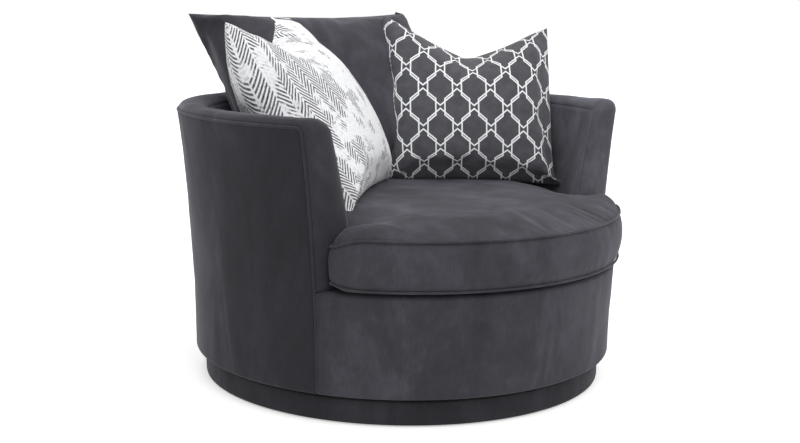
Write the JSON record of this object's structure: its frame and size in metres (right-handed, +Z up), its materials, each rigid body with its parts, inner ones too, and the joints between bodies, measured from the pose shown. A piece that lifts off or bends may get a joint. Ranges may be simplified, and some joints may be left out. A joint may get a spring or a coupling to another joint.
{
  "type": "swivel lounge chair",
  "caption": "Round barrel swivel lounge chair on a low round plinth, with a boxed seat cushion, a loose back cushion and patterned toss pillows.",
  "frame": {"origin": "on the floor, on the swivel axis, under the middle of the chair", "axes": "+Z up along the swivel axis, -Y towards the front of the seat, +X towards the right arm as seen from the front"},
  "size_m": [1.163, 1.1505, 0.9425],
  "materials": {
    "charcoal_velvet": "matte",
    "trellis_cloth": "matte",
    "herringbone_cloth": "matte",
    "plywood": "matte",
    "timber": "matte",
    "fibreboard": "matte",
    "foam": "matte",
    "zinc_plated_steel": "satin",
    "spring_steel": "satin",
    "black_plastic": "matte",
    "black_lining": "matte"
  },
  "bodies": {
    "base": {"plinth_ring": "plywood", "plinth_top_board": "plywood", "plinth_cover": "charcoal_velvet", "glide_1": "black_plastic", "glide_2": "black_plastic", "glide_3": "black_plastic", "glide_4": "black_plastic", "glide_5": "black_plastic", "glide_6": "black_plastic", "swivel_lower_plate": "zinc_plated_steel", "lower_screw_1": "zinc_plated_steel", "lower_screw_2": "zinc_plated_steel", "lower_screw_3": "zinc_plated_steel", "lower_screw_4": "zinc_plated_steel", "pivot_bolt": "zinc_plated_steel", "pivot_washer": "zinc_plated_steel", "pivot_nut": "zinc_plated_steel"},
    "cage": {"ball_cage": "zinc_plated_steel"},
    "chair": {"swivel_upper_plate": "zinc_plated_steel", "upper_screw_1": "zinc_plated_steel", "upper_screw_2": "zinc_plated_steel", "upper_screw_3": "zinc_plated_steel", "upper_screw_4": "zinc_plated_steel", "bottom_board": "plywood", "dust_cover": "black_lining", "arm_post_right": "timber", "arm_post_left": "timber", "back_post_right": "timber", "back_post_left": "timber", "back_post_centre": "timber", "seat_hoop": "plywood", "front_block_right": "timber", "front_block_left": "timber", "top_hoop": "plywood", "front_rail": "plywood", "arm_front_board_right": "plywood", "arm_front_board_left": "plywood", "spring_1": "spring_steel", "spring_2": "spring_steel", "spring_3": "spring_steel", "spring_4": "spring_steel", "spring_5": "spring_steel", "deck_pad": "foam", "deck_cloth": "black_lining", "outside_cover": "charcoal_velvet", "barrel_liner": "fibreboard", "inside_foam": "foam", "inside_cover": "charcoal_velvet", "front_apron": "charcoal_velvet", "rim_band": "charcoal_velvet", "rim_foam": "foam", "rim_welt": "charcoal_velvet"},
    "seat": {"seat_cushion": "charcoal_velvet", "seat_welt_lower": "charcoal_velvet", "seat_welt_upper": "charcoal_velvet"},
    "back": {"back_cushion": "charcoal_velvet"},
    "dark_pillow": {"trellis_pillow": "trellis_cloth"},
    "white_pillow": {"herringbone_pillow": "herringbone_cloth"}
  },
  "joints": [
    {"name": "swivel", "type": "hinge", "parent": "base", "child": "chair", "pos_m": [0, 0, 0], "axis": [0, 0, 1], "continuous": true},
    {"name": "cage_roll", "type": "hinge", "parent": "base", "child": "cage", "pos_m": [0, 0, 0], "axis": [0, 0, 1], "continuous": true},
    {"name": "seat_lift", "type": "slide", "parent": "chair", "child": "seat", "axis": [0, 0, 1], "range_m": [0, 0.1]},
    {"name": "back_lift", "type": "slide", "parent": "seat", "child": "back", "axis": [0, 0, 1], "range_m": [0, 0.12]},
    {"name": "dark_pillow_lift", "type": "slide", "parent": "back", "child": "dark_pillow", "axis": [-0.1005, -0.7035, 0.7035], "range_m": [0, 0.1]},
    {"name": "white_pillow_lift", "type": "slide", "parent": "back", "child": "white_pillow", "axis": [0, -0.8, 0.6], "range_m": [0, 0.1]}
  ],
  "couplings": [
    {"joint": "cage_roll", "follows": "swivel", "ratio": 0.5}
  ]
}
